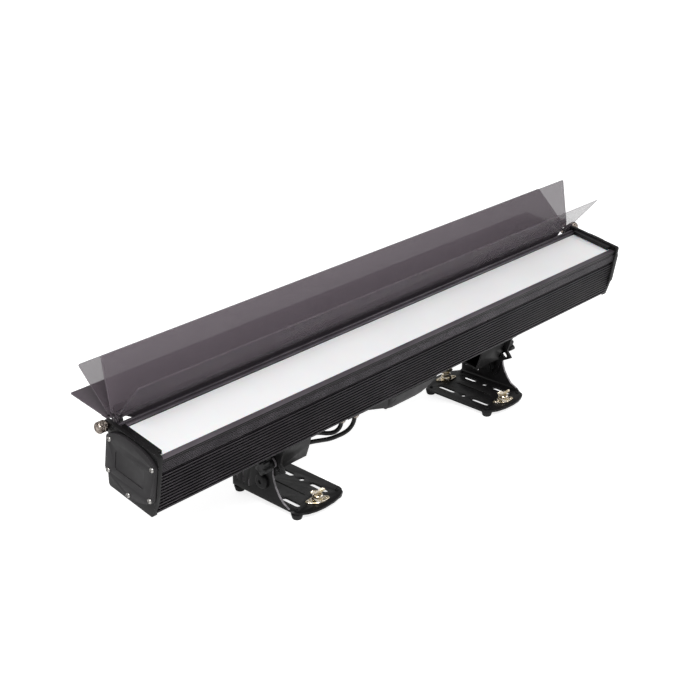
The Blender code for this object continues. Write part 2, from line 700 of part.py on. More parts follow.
def pivot_bolt(label, side, mats):
    """Low-headed tilt bolt through upright and cheek, and its nut."""
    matrix = base_matrix(z=PIVOT_Z)
    face = FOOT_OUT + GAP
    bm = bmesh.new()
    lathe(bm, [(0.0, face + 0.0052), (0.0070, face + 0.0052), (0.0098, face + 0.0040),
               (0.0105, face + 0.0020), (0.0105, face), (0.0049, face), (0.0049, 0.2270),
               (0.0, 0.2270)], (0.0, 0.0, 0.0), "X", 18, side)
    new_object("pivot_bolt_" + label, bm, mats["painted"], matrix, 30.0)
    bm = bmesh.new()
    ends = sorted((side * 0.2285, side * (SADDLE_OUT - CHEEK - GAP)))
    prism(bm, circle(0.0, 0.0, 0.0092, 6), ends[0], ends[1], "X",
          [circle(0.0, 0.0, 0.0053, 12)])
    new_object("pivot_nut_" + label, bm, mats["dark_steel"], matrix)


def tilt_knob(label, side, mats):
    """Lobed knob and its stud."""
    matrix = base_matrix(y=KNOB_Y, z=KNOB_Z)
    rings = []
    shape = ((0.2306, TILT_STUD, 0.0), (0.2420, TILT_STUD, 0.0), (0.24201, 0.0050, 0.0),
             (0.2482, 0.0050, 0.0), (0.24821, 0.0062, 0.4), (0.2498, 0.0086, 1.0),
             (0.2592, 0.0086, 1.0), (0.2608, 0.0064, 0.5), (0.26081, 0.0030, 0.0),
             (0.2600, 0.0026, 0.0))
    for x, radius, lobe in shape:
        ring = []
        for i in range(GRIP_POINTS):
            angle = 2.0 * math.pi * i / GRIP_POINTS
            r = radius + 0.0023 * lobe * math.cos(5.0 * (angle - math.pi))
            ring.append((side * x, r * math.cos(angle), r * math.sin(angle)))
        rings.append(ring)
    bm = bmesh.new()
    loft(bm, rings)
    new_object("tilt_knob_" + label, bm, mats["rubber"], matrix, 35.0)


def clamp_nut(label, side, mats):
    """Nut behind the cheek that the tilt knob draws up."""
    matrix = base_matrix(y=KNOB_Y, z=KNOB_Z)
    bm = bmesh.new()
    ends = sorted((side * 0.2315, side * (SADDLE_OUT - CHEEK - GAP)))
    prism(bm, circle(0.0, 0.0, 0.0054, 6), ends[0], ends[1], "X",
          [circle(0.0, 0.0, 0.0033, 10)])
    new_object("clamp_nut_" + label, bm, mats["dark_steel"], matrix)


def lock_cup(name, x, y, mats):
    """Fixed part of a quarter-turn lock: two-eared flange with a cup through the plate."""
    top = PLATE_LOW + SHEET + GAP
    ears = []
    for half_turn in (0.0, 180.0):
        ears += arc(0.0, 0.0, 0.0094, half_turn - 118.0, half_turn - 62.0, 3)
        angle = math.radians(half_turn)
        ears += arc(0.0128 * math.cos(angle), 0.0128 * math.sin(angle), 0.0042,
                    half_turn - 62.0, half_turn + 62.0, 4)
    matrix = base_matrix(x, y) @ Matrix.Rotation(LOCK_TURN, 4, "Z")
    base = bmesh.new()
    prism(base, ears, top, top + 0.0016, "Z", [circle(0.0, 0.0, 0.0046, 14)])
    tool = bmesh.new()
    lathe(tool, [(0.0045, 0.0076), (0.0064, 0.0076), (0.0064, top + 0.0008),
                 (0.0078, top + 0.0008), (0.0078, top + 0.0052), (0.0066, top + 0.0066),
                 (0.0045, top + 0.0066)], (0.0, 0.0, 0.0), "Z", 14)
    for reach in (-0.0128, 0.0128):
        lathe(tool, [(0.0, top + 0.0026), (0.0016, top + 0.0026), (0.0024, top + 0.0014),
                     (0.0024, top + 0.0008), (0.0, top + 0.0008)], (reach, 0.0, 0.0), "Z", 8)
    combine("lock_cup_" + name, base, tool, mats["zinc"], matrix)


def lock_stud(name, x, y, mats):
    """Turning stud with a wing above the cup and a cross pin below the plate."""
    top = PLATE_LOW + SHEET + GAP
    matrix = base_matrix(x, y) @ Matrix.Rotation(LOCK_TURN, 4, "Z")
    base = bmesh.new()
    lathe(base, [(0.0, 0.0030), (0.0030, 0.0030), (0.0040, 0.0040), (0.0040, top + 0.0069),
                 (0.0072, top + 0.0069), (0.0072, top + 0.0090), (0.0060, top + 0.0100),
                 (0.0, top + 0.0100)], (0.0, 0.0, 0.0), "Z", 14)
    tool = bmesh.new()
    wing = [(-0.0030, top + 0.0084), (0.0030, top + 0.0084), (0.0060, top + 0.0112),
            (0.0100, top + 0.0124), (0.0104, top + 0.0156), (0.0078, top + 0.0172),
            (0.0030, top + 0.0150), (-0.0030, top + 0.0150), (-0.0078, top + 0.0172),
            (-0.0104, top + 0.0156), (-0.0100, top + 0.0124), (-0.0060, top + 0.0112)]
    prism(tool, wing, -0.0014, 0.0014, "Y")
    pin = circle(0.0, 0.0055, 0.0012, 8, math.pi / 8)
    prism(tool, pin, -0.0060, 0.0060)
    combine("lock_stud_" + name, base, tool, mats["zinc"], matrix)


def rounded_ring(x1, x2, half, radius, z):
    """Ring of a rounded rectangle at a height, for the control box."""
    points = []
    for cx, cy, start in ((x2 - radius, half - radius, 0.0), (x1 + radius, half - radius, 90.0),
                          (x1 + radius, radius - half, 180.0),
                          (x2 - radius, radius - half, 270.0)):
        points += arc(cx, cy, radius, start, start + 90.0, 3)
    return [(x, y, z + PIVOT_DROP) for x, y in points]


def control_box(mats):
    """Box under the middle of the housing, hollow and open towards it."""
    shape = ((0.0470, 0.0400, 0.0050, -0.0763), (0.0455, 0.0392, 0.0060, -0.0800),
             (0.0415, 0.0384, 0.0075, -0.0850), (0.0365, 0.0376, 0.0090, -0.0897),
             (0.0290, 0.0364, 0.0110, -0.0945), (0.0200, 0.0345, 0.0120, -0.0978),
             (0.0080, 0.0318, 0.0120, -0.0992))
    base = bmesh.new()
    loft(base, [rounded_ring(-0.0530, x, half, r, z) for x, half, r, z in shape])
    tool = bmesh.new()
    inner = ((0.0440, 0.0370, 0.0040, -0.0750), (0.0425, 0.0362, 0.0050, -0.0805),
             (0.0340, 0.0346, 0.0080, -0.0880), (0.0180, 0.0310, 0.0090, -0.0940))
    loft(tool, [rounded_ring(-0.0500, x, half, r, z) for x, half, r, z in inner])
    item = combine("control_box", base, tool, mats["cover"], head_matrix(), "DIFFERENCE", 25.0)
    cut = bmesh.new()
    slit = [(-0.0458, -0.0868), (-0.0446, -0.0874), (-0.0384, -0.0824), (-0.0396, -0.0818)]
    prism(cut, head_z(slit), -0.0420, -0.0376, "Y")
    for _, x, half, height in SOCKETS:
        prism(cut, socket_rim(x, half + GAP, height + GAP), 0.0300, 0.0450, "Y")
    carve(item, cut, mats["cover"])


def gland_block(mats):
    """Block beside the control box, sloped towards it, with the two gland holes."""
    bm = bmesh.new()
    outline = [(-0.1330, -0.0763), (-0.1330, -0.0786), (-0.1320, -0.0796), (-0.0930, -0.0799),
               (-0.0620, -0.0895), (-0.0562, -0.0935), (-0.0534, -0.0935), (-0.0534, -0.0763)]
    prism(bm, head_z(outline), -0.0370, 0.0370, "Y")
    tool = bmesh.new()
    for x, y, z in gland_spots():
        prism(tool, circle(x, y, 0.0046, 10), PIVOT_DROP - 0.085, PIVOT_DROP - 0.070, "Z")
    combine("gland_block", bm, tool, mats["cover"], head_matrix(), "DIFFERENCE")


def gland_spots():
    """Places of the two glands under the gland block."""
    return ((-0.1010, -0.0220, -0.0800), (-0.1245, -0.0200, -0.0800))


def cable_gland(name, x, y, z, mats):
    """Metal gland: spigot, collar, taper nut and a recess that takes the cable's end."""
    bm = bmesh.new()
    lathe(bm, [(0.0, 0.0030), (0.0043, 0.0030), (0.0043, 0.0), (0.0068, 0.0),
               (0.0068, -0.0050), (0.0062, -0.0052), (0.0062, -0.0085), (0.0058, -0.0130),
               (0.0045, -0.0145), (0.0035, -0.0145), (0.0035, -0.0105), (0.0, -0.0105)],
          (x, y, z + PIVOT_DROP - 0.0004), "Z", 12)
    new_object(name, bm, mats["brass"], head_matrix(), 30.0)


def smooth_path(points, spacing):
    """Even points along a smooth curve through hand-chosen ones."""
    knots = [Vector(p) for p in points]
    knots = [2 * knots[0] - knots[1]] + knots + [2 * knots[-1] - knots[-2]]
    fine = []
    for i in range(1, len(knots) - 2):
        a, b, c, d = knots[i - 1:i + 3]
        for k in range(24):
            t = k / 24.0
            fine.append(0.5 * ((2 * b) + (c - a) * t + (2 * a - 5 * b + 4 * c - d) * t * t
                               + (3 * b - a - 3 * c + d) * t ** 3))
    fine.append(knots[-2])
    total = sum((q - p).length for p, q in zip(fine, fine[1:]))
    count = max(2, round(total / spacing))
    result = [fine[0]]
    walked = 0.0
    for p, q in zip(fine, fine[1:]):
        length = (q - p).length
        while walked + length >= total * len(result) / count and len(result) < count:
            result.append(p.lerp(q, (total * len(result) / count - walked) / length))
        walked += length
    return result + [fine[-1]]


def cable(name, points, mats):
    """Round cable along its route, a filled curve."""
    route = smooth_path([(x, y, z + PIVOT_DROP) for x, y, z in points], 0.0068)
    curve = bpy.data.curves.new(name, "CURVE")
    curve.dimensions = "3D"
    curve.bevel_depth = 0.0030
    curve.bevel_resolution = 2
    curve.use_fill_caps = True
    spline = curve.splines.new("POLY")
    spline.points.add(len(route) - 1)
    for target, point in zip(spline.points, route):
        target.co = (*point, 1.0)
    curve.materials.append(mats["cable"])
    item = bpy.data.objects.new(name, curve)
    bpy.context.scene.collection.objects.link(item)
    item.matrix_world = head_matrix()


def cables(mats):
    """The two leads from the gland block into the housing above the left saddle."""
    box_end = -0.0800 - 0.0004 - 0.0105 - GAP
    head_end = BODY_BOTTOM - 0.0004 - 0.0105 - GAP
    power = [(-0.1010, -0.0220, box_end), (-0.1010, -0.0220, -0.0970),
             (-0.1025, -0.0220, -0.1048), (-0.1075, -0.0220, -0.1106),
             (-0.1165, -0.0220, -0.1136), (-0.1290, -0.0210, -0.1146),
             (-0.1420, -0.0190, -0.1150), (-0.1550, -0.0155, -0.1141),
             (-0.1670, -0.0125, -0.1128), (-0.1800, -0.0100, -0.1115),
             (-0.1930, -0.0088, -0.1090), (-0.2045, -0.0085, -0.1040),
             (-0.2115, -0.0085, -0.0975), (-0.2130, -0.0085, -0.0920),
             (-0.2130, -0.0085, head_end)]
    data = [(-0.1245, -0.0200, box_end), (-0.1245, -0.0200, -0.0962),
            (-0.1256, -0.0200, -0.1010), (-0.1292, -0.0198, -0.1052),
            (-0.1360, -0.0188, -0.1074), (-0.1440, -0.0152, -0.1076),
            (-0.1525, -0.0098, -0.1064), (-0.1650, -0.0030, -0.1056),
            (-0.1780, 0.0025, -0.1052), (-0.1920, 0.0062, -0.1040),
            (-0.2050, 0.0080, -0.1006), (-0.2130, 0.0085, -0.0960),
            (-0.2150, 0.0085, -0.0915), (-0.2150, 0.0085, head_end)]
    cable("cable_power", power, mats)
    cable("cable_data", data, mats)


def socket_rim(x, half, height):
    """Outline (x, z) of a socket in the rear wall of the control box."""
    low = SOCKET_Z + PIVOT_DROP - height
    high = SOCKET_Z + PIVOT_DROP + height
    return box_points(x - half, low, x + half, high)


def sockets(mats):
    """Flush supply and data sockets in the rear wall of the control box."""
    wall = 0.0025
    for name, x, half, height in SOCKETS:
        base = bmesh.new()
        prism(base, socket_rim(x, half, height), 0.0240, 0.0396, "Y")
        tool = bmesh.new()
        prism(tool, socket_rim(x, half - wall, height - wall),
              0.0270, 0.0420, "Y")
        combine(name, base, tool, mats["rubber"], head_matrix(), "DIFFERENCE")


def build():
    """Make every piece of the lamp."""
    clear_scene()
    mats = make_materials()
    housing_body(mats)
    retainers(mats)
    diffuser(mats)
    light_engine(mats)
    driver_module(mats)
    end_plates(mats)
    end_covers(mats)
    thumbscrews(mats)
    hinge_nuts(mats)
    for name in LEAF_ORDER:
        leaf(name, mats)
        leaf_clips(name, mats)
    control_box(mats)
    gland_block(mats)
    sockets(mats)
    for name, place in zip(("power_gland_box", "data_gland_box"), gland_spots()):
        cable_gland(name, *place, mats)
    for name, (x, y) in zip(("power_gland_head", "data_gland_head"), housing_gland_spots()):
        cable_gland(name, x, y, BODY_BOTTOM, mats)
    cables(mats)
    for label, side in SIDES:
        saddle(label, side, mats)
        foot(label, side, mats)
        pivot_bolt(label, side, mats)
        tilt_knob(label, side, mats)
        clamp_nut(label, side, mats)
        for end, sign in (("front", -1.0), ("rear", 1.0)):
            lock_cup(label + "_" + end, side * LOCK_X, sign * LOCK_Y, mats)
            lock_stud(label + "_" + end, side * LOCK_X, sign * LOCK_Y, mats)


build()
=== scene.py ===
"""Looks of the linear floodlight: finishes, fine hardware, leads, light and camera.

Rows of numbers for turned and flat pieces are millimetres. Head pieces are written from the
top of the rim, with x along the lamp, y to its rear and z up.
"""

import json
import math

import bmesh
import bpy
from mathutils import Matrix, Vector


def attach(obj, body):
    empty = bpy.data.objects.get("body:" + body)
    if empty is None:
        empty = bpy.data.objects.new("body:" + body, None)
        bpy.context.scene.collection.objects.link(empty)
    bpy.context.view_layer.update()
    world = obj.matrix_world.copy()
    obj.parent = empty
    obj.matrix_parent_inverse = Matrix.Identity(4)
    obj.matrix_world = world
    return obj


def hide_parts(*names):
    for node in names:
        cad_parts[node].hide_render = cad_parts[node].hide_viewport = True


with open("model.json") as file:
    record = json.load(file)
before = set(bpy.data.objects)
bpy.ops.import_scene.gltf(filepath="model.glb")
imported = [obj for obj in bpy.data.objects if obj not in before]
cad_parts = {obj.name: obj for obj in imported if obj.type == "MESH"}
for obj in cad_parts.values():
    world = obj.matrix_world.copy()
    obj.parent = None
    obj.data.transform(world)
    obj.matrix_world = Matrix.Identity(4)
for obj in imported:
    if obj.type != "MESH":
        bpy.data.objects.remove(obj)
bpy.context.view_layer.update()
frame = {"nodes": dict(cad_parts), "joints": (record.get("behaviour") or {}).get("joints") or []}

MM = 0.001
JOINTS = {joint["name"]: joint for joint in frame["joints"]}
PIVOT = Vector(JOINTS["head_tilt"]["pos_m"])

# Head
HEAD_LEAN = math.radians(9.4)
RIM_ABOVE_PIVOT = 149.0 * MM
HINGE_Y = 48.4 * MM
HINGE_Z = 0.5 * MM
END_FACE = 460.0 * MM
COVER_FACE = 464.3 * MM
# Depths of the clamping bars' upper faces that carry the painted light, from the middle of the head
# outwards
LIP_INNER_Y = 33.5 * MM
LIP_OUTER_Y = 36.7 * MM
BAR_OUTER_Y = 44.0 * MM
# Leaves: one smoked sheet, its tint matched leaf by leaf: darker on the rear and low leaves as
# painted shade, clearer and paler on the front leaf as painted light; and where the dark band at
# the hinge ends
LEAF_SHEETS = {"low": "smoked_deep_painted_shade", "rear": "smoked_painted_shade", "upright": "smoked",
               "front": "smoked_painted_light"}
BAND_END = 5.4 * MM
CLEAR_START = 5.7 * MM
# Hinge washers, the first one outermost
FIRST_WASHER = 453.55
WASHER_STEP = 2.8
WASHER_COUNT = 5
# Feet
UPRIGHT_INNER = 238.0 * MM
UPRIGHT_LOW = 13.0 * MM
PAD_SPOTS = [(x * MM, y * MM) for x in (159.5, 233.0) for y in (-53.0, 53.0)]
LOCK_X = 196.5 * MM
LOCK_Y = 54.0 * MM
LOCK_SEAT = 10.8
LOCK_TURN = math.radians(-20.0)
SIDES = (("left", -1.0), ("right", 1.0))

BASE = Matrix.Translation((0.0, PIVOT.y, 0.0))
HEAD = Matrix.Translation(PIVOT) @ Matrix.Rotation(HEAD_LEAN, 4, "X")
HEAD = HEAD @ Matrix.Translation((0.0, 0.0, RIM_ABOVE_PIVOT))


# Finishes


def linear(code):
    """Linear colour of an sRGB hex value."""
    parts = [int(code[i:i + 2], 16) / 255.0 for i in (1, 3, 5)]
    return [c / 12.92 if c <= 0.04045 else ((c + 0.055) / 1.055) ** 2.4 for c in parts] + [1.0]


def add(tree, kind, settings=None, links=None, **fixed):
    """Add a node: settings fill its sockets, links join them, the rest are its own values."""
    node = tree.nodes.new(kind)
    for key, value in fixed.items():
        setattr(node, key, value)
    for key, value in (settings or {}).items():
        node.inputs[key].default_value = value
    for key, source in (links or {}).items():
        tree.links.new(source, node.inputs[key])
    return node


def new_finish(name, colour, rough, metal=0.0, **sockets):
    """A Principled finish whose even values sit on its own sockets."""
    made = bpy.data.materials.new(name)
    made.use_nodes = True
    tree = made.node_tree
    shader = tree.nodes["Principled BSDF"]
    shader.inputs["Base Color"].default_value = linear(colour)
    shader.inputs["Roughness"].default_value = rough
    shader.inputs["Metallic"].default_value = metal
    for key, value in sockets.items():
        shader.inputs[key.replace("_", " ")].default_value = value
    return made, tree, shader


def grain(tree, shader, size_mm, depth_mm, stretch=(1.0, 1.0, 1.0), detail=3.0):
    """Bump from noise whose grains have a real size."""
    place = add(tree, "ShaderNodeTexCoord")
    scaled = add(tree, "ShaderNodeMapping", {"Scale": stretch},
                 {"Vector": place.outputs["Object"]})
    noise = add(tree, "ShaderNodeTexNoise", {"Scale": 1.0 / (size_mm * MM), "Detail": detail},
                {"Vector": scaled.outputs["Vector"]})
    bump = add(tree, "ShaderNodeBump", {"Distance": depth_mm * MM, "Strength": 1.0},
               {"Height": noise.outputs["Fac"]})
    tree.links.new(bump.outputs["Normal"], shader.inputs["Normal"])


def cloudy(tree, shader, socket, size_mm, low, high):
    """Slow change of one shader value over the surface, from noise of a real size."""
    place = add(tree, "ShaderNodeTexCoord")
    noise = add(tree, "ShaderNodeTexNoise", {"Scale": 1.0 / (size_mm * MM), "Detail": 4.0},
                {"Vector": place.outputs["Object"]})
    if isinstance(low, str):
        ramp = add(tree, "ShaderNodeValToRGB", links={"Fac": noise.outputs["Fac"]})
        ramp.color_ramp.elements[0].position = 0.35
        ramp.color_ramp.elements[1].position = 0.65
        ramp.color_ramp.elements[0].color = linear(low)
        ramp.color_ramp.elements[1].color = linear(high)
        tree.links.new(ramp.outputs["Color"], shader.inputs[socket])
    else:
        spread = add(tree, "ShaderNodeMapRange",
                     {"From Min": 0.3, "From Max": 0.7, "To Min": low, "To Max": high},
                     {"Value": noise.outputs["Fac"]})
        tree.links.new(spread.outputs["Result"], shader.inputs[socket])


def anodised_aluminium():
    """Extruded and black anodised: near-black satin, its lines along X too faint to see singly."""
    made, tree, shader = new_finish("black_anodised_aluminium", "#0e0c0e", 0.32, 0.0,
                                    Specular_IOR_Level=0.3)
    grain(tree, shader, 0.5, 0.001, (0.02, 1.0, 1.0))
    cloudy(tree, shader, "Roughness", 30.0, 0.28, 0.38)
    cloudy(tree, shader, "Base Color", 60.0, "#0c0a0c", "#110e11")
    return made


def painted_light_bar_tops():
    """Upper faces of the clamping bars: the black anodising in a paler violet grey, as painted
    light.
    """
    made, tree, shader = new_finish("anodised_bar_tops_painted_light", "#4c464c", 0.4)
    grain(tree, shader, 0.5, 0.003, (0.02, 1.0, 1.0))
    cloudy(tree, shader, "Base Color", 60.0, "#443f44", "#544e54")
    return made


def painted_highlight_anodised_edges():
    """Edges of the extrusion and the bars: their bevels in pale metal grey, a painted highlight."""
    made, tree, shader = new_finish("anodised_edges_painted_highlight", "#767078", 0.3, 0.5)
    grain(tree, shader, 0.5, 0.008, (0.02, 1.0, 1.0))
    cloudy(tree, shader, "Base Color", 40.0, "#645e66", "#8a838b")
    return made


def powder_coat():
    """Sheet steel, black powder coat: a fine even orange peel of about 0.6 mm."""
    made, tree, shader = new_finish("black_powder_coated_steel", "#0f0e0f", 0.44,
                                    Specular_IOR_Level=0.3)
    grain(tree, shader, 0.6, 0.02)
    cloudy(tree, shader, "Roughness", 12.0, 0.38, 0.50)
    cloudy(tree, shader, "Base Color", 25.0, "#0d0c0d", "#121112")
    return made


def painted_highlight_coated_edges():
    """Edges of the folded, coated and cast pieces: their bevels in pale grey, a painted highlight.
    """
    made, tree, shader = new_finish("coated_edges_painted_highlight", "#7a777a", 0.34)
    grain(tree, shader, 0.6, 0.015)
    cloudy(tree, shader, "Base Color", 8.0, "#5c595c", "#949094")
    return made


def cover_coat():
    """Die-cast cover, dark grey powder coat with a soft satin sheen."""
    made, tree, shader = new_finish("grey_powder_coated_casting", "#232123", 0.46,
                                    Specular_IOR_Level=0.3)
    grain(tree, shader, 0.5, 0.018)
    cloudy(tree, shader, "Roughness", 15.0, 0.40, 0.52)
    cloudy(tree, shader, "Base Color", 30.0, "#201e20", "#262426")
    return made


def opal_acrylic():
    """Extruded opal acrylic: an even milk white with a satin skin that scatters light inside."""
    made, tree, shader = new_finish("opal_acrylic", "#f4f4f5", 0.38, Subsurface_Weight=0.15,
                                    Subsurface_Scale=2.0 * MM)
    grain(tree, shader, 1.2, 0.004)
    cloudy(tree, shader, "Roughness", 40.0, 0.34, 0.42)
    cloudy(tree, shader, "Base Color", 120.0, "#f2f2f3", "#f6f6f7")
    return made


def smoked_polycarbonate(name, cover, low, high):
    """Tinted sheet, calendered: violet-grey, a low gloss and a faint ripple from the rolls.

    Close to the hinge it is opaque and dark, which gives the even band seen there.
    """
    made, tree, shader = new_finish(name, low, 0.25, Specular_IOR_Level=0.04)
    grain(tree, shader, 45.0, 0.03, detail=1.0)
    cloudy(tree, shader, "Roughness", 60.0, 0.22, 0.3)
    axis = HEAD @ Vector((0.0, HINGE_Y, HINGE_Z))
    place = add(tree, "ShaderNodeTexCoord")
    offset = add(tree, "ShaderNodeVectorMath", {1: (0.0, axis.y, axis.z)},
                 {0: place.outputs["Object"]}, operation="SUBTRACT")
    across = add(tree, "ShaderNodeVectorMath", {1: (0.0, 1.0, 1.0)},
                 {0: offset.outputs["Vector"]}, operation="MULTIPLY")
    reach = add(tree, "ShaderNodeVectorMath", links={0: across.outputs["Vector"]},
                operation="LENGTH")
    clear = add(tree, "ShaderNodeMapRange",
                {"From Min": BAND_END, "From Max": CLEAR_START, "To Min": 1.0, "To Max": cover},
                {"Value": reach.outputs["Value"]})
    tree.links.new(clear.outputs["Result"], shader.inputs["Alpha"])
    noise = add(tree, "ShaderNodeTexNoise", {"Scale": 1.0 / (90.0 * MM), "Detail": 4.0},
                {"Vector": place.outputs["Object"]})
    tone = add(tree, "ShaderNodeValToRGB", links={"Fac": noise.outputs["Fac"]})
    tone.color_ramp.elements[0].color = linear(low)
    tone.color_ramp.elements[1].color = linear(high)
    band = add(tree, "ShaderNodeMapRange", {"From Min": BAND_END, "From Max": CLEAR_START},
               {"Value": reach.outputs["Value"]})
    mixed = add(tree, "ShaderNodeMix", {6: linear("#443f44")},
                {0: band.outputs["Result"], 7: tone.outputs["Color"]}, data_type="RGBA")
    tree.links.new(mixed.outputs[2], shader.inputs["Base Color"])
    return made


def cut_sheet_edge():
    """Routed edge of the tinted sheet: matte and paler than the faces."""
    made, tree, shader = new_finish("routed_sheet_edge", "#7c747b", 0.5)
    grain(tree, shader, 0.5, 0.01)
    cloudy(tree, shader, "Base Color", 8.0, "#726a71", "#877f86")
    return made


def bright_steel():
    """Stainless screw steel, turned and tumbled: a soft gloss with a fine grain."""
    made, tree, shader = new_finish("stainless_steel", "#b9b7b4", 0.28, 1.0)
    grain(tree, shader, 0.25, 0.006)
    cloudy(tree, shader, "Roughness", 2.0, 0.22, 0.38)
    return made


def black_steel():
    """Blackened steel of the nuts and small screws, oiled: dark, slightly uneven."""
    made, tree, shader = new_finish("black_oxide_steel", "#2a2a2b", 0.4, 0.8)
    grain(tree, shader, 0.4, 0.01)
    cloudy(tree, shader, "Roughness", 3.0, 0.32, 0.5)
    return made


def yellow_zinc():
    """Yellow chromated zinc: bright straw metal, mottled up to nearly white as painted highlights.
    """
    made, tree, shader = new_finish("yellow_zinc_steel", "#dcd2c0", 0.22, 1.0)
    grain(tree, shader, 0.3, 0.008)
    cloudy(tree, shader, "Base Color", 3.0, "#b8a67c", "#f2ece4")
    cloudy(tree, shader, "Roughness", 3.0, 0.14, 0.3)
    return made


def plated_brass():
    """Nickel plated brass, turned: glossy warm metal, mottled from dark brown to pale as painted
    highlights and painted dark reflections.
    """
    made, tree, shader = new_finish("nickel_plated_brass", "#85786e", 0.16, 1.0)
    grain(tree, shader, 0.3, 0.01)
    cloudy(tree, shader, "Roughness", 2.5, 0.1, 0.22)
    cloudy(tree, shader, "Base Color", 2.0, "#3a2d24", "#c8bcb2")
    return made


def soft_rubber():
    """Moulded rubber: dead black, matte, with a faint moulded grain."""
    made, tree, shader = new_finish("moulded_rubber", "#151515", 0.75)
    grain(tree, shader, 0.5, 0.03)
    cloudy(tree, shader, "Roughness", 5.0, 0.68, 0.85)
    return made


def glass_filled_nylon():
    """Moulded glass-filled nylon of knobs and sockets: black, a dull sheen, a fine pitted skin."""
    made, tree, shader = new_finish("glass_filled_nylon", "#161617", 0.45)
    grain(tree, shader, 0.35, 0.015)
    cloudy(tree, shader, "Roughness", 4.0, 0.38, 0.55)
    return made


def cable_jacket():
    """Extruded PVC jacket: smooth black with a soft gloss and a faint grain."""
    made, tree, shader = new_finish("pvc_cable_jacket", "#0b0b0c", 0.24, Specular_IOR_Level=0.35)
    grain(tree, shader, 0.8, 0.008)
    cloudy(tree, shader, "Roughness", 10.0, 0.2, 0.3)
    return made


def circuit_board():
    """White solder mask over a metal-core board: clean, slightly glossy."""
    made, tree, shader = new_finish("white_solder_mask", "#e2e2dd", 0.4)
    grain(tree, shader, 0.4, 0.01)
    cloudy(tree, shader, "Base Color", 15.0, "#dfdfd9", "#e6e6e2")
    return made


def white_tray():
    """White powder-coated aluminium tray: bright and matte, to spread the light."""
    made, tree, shader = new_finish("white_powder_coat", "#ececea", 0.6)
    grain(tree, shader, 0.5, 0.02)
    cloudy(tree, shader, "Roughness", 12.0, 0.52, 0.68)
    return made


def driver_case():
    """Extruded driver case, clear anodised: plain grey metal with die lines."""
    made, tree, shader = new_finish("clear_anodised_aluminium", "#8c8c8e", 0.42, 0.9)
    grain(tree, shader, 0.5, 0.01, (0.02, 1.0, 1.0))
    cloudy(tree, shader, "Roughness", 20.0, 0.36, 0.5)
    return made


FINISHES = {
    "anodised": anodised_aluminium(), "coated": powder_coat(), "cover": cover_coat(),
    "opal": opal_acrylic(), "bright": bright_steel(),
    # One smoked sheet: the upright leaf keeps its own tint; the rear and low copies are darker,
    # painted shade, the front copy clearer, painted light.
    "smoked": smoked_polycarbonate("smoked_polycarbonate", 0.6, "#6d646b", "#726970"),
    "smoked_painted_shade": smoked_polycarbonate("smoked_polycarbonate_painted_shade", 0.58, "#554d53", "#595157"),
    "smoked_painted_light": smoked_polycarbonate("smoked_polycarbonate_painted_light", 0.36, "#615960", "#655d63"),
    "smoked_deep_painted_shade": smoked_polycarbonate("smoked_polycarbonate_deep_painted_shade", 0.88, "#534b51", "#575056"),
    "cut_edge": cut_sheet_edge(),
    "bar_top_painted_light": painted_light_bar_tops(), "anodised_edge_highlight": painted_highlight_anodised_edges(), "coated_edge_highlight": painted_highlight_coated_edges(),
    "black": black_steel(), "zinc": yellow_zinc(), "brass": plated_brass(),
    "rubber": soft_rubber(), "nylon": glass_filled_nylon(), "cable": cable_jacket(),
    "board": circuit_board(), "tray": white_tray(), "driver": driver_case(),
}


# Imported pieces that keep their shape


def dress(node, finish, edge_mm=0.0, edge_highlight_or_cut=None):
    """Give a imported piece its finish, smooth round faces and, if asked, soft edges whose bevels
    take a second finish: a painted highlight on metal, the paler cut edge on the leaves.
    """
    piece = frame["nodes"][node]
    piece.data.materials.clear()
    piece.data.materials.append(FINISHES[finish])
    if edge_highlight_or_cut:
        piece.data.materials.append(FINISHES[edge_highlight_or_cut])
    for face in piece.data.polygons:
        face.use_smooth = True
    weld = piece.modifiers.new("weld", "WELD")
    weld.merge_threshold = 0.005 * MM
    if edge_mm:
        soft = piece.modifiers.new("soft_edges", "BEVEL")
        soft.width = edge_mm * MM
        soft.segments = 2
        soft.limit_method = "ANGLE"
        soft.angle_limit = math.radians(40.0)
        if edge_highlight_or_cut:
            soft.material = 1
    split = piece.modifiers.new("crisp_edges", "EDGE_SPLIT")
    split.split_angle = math.radians(35.0)
    return piece


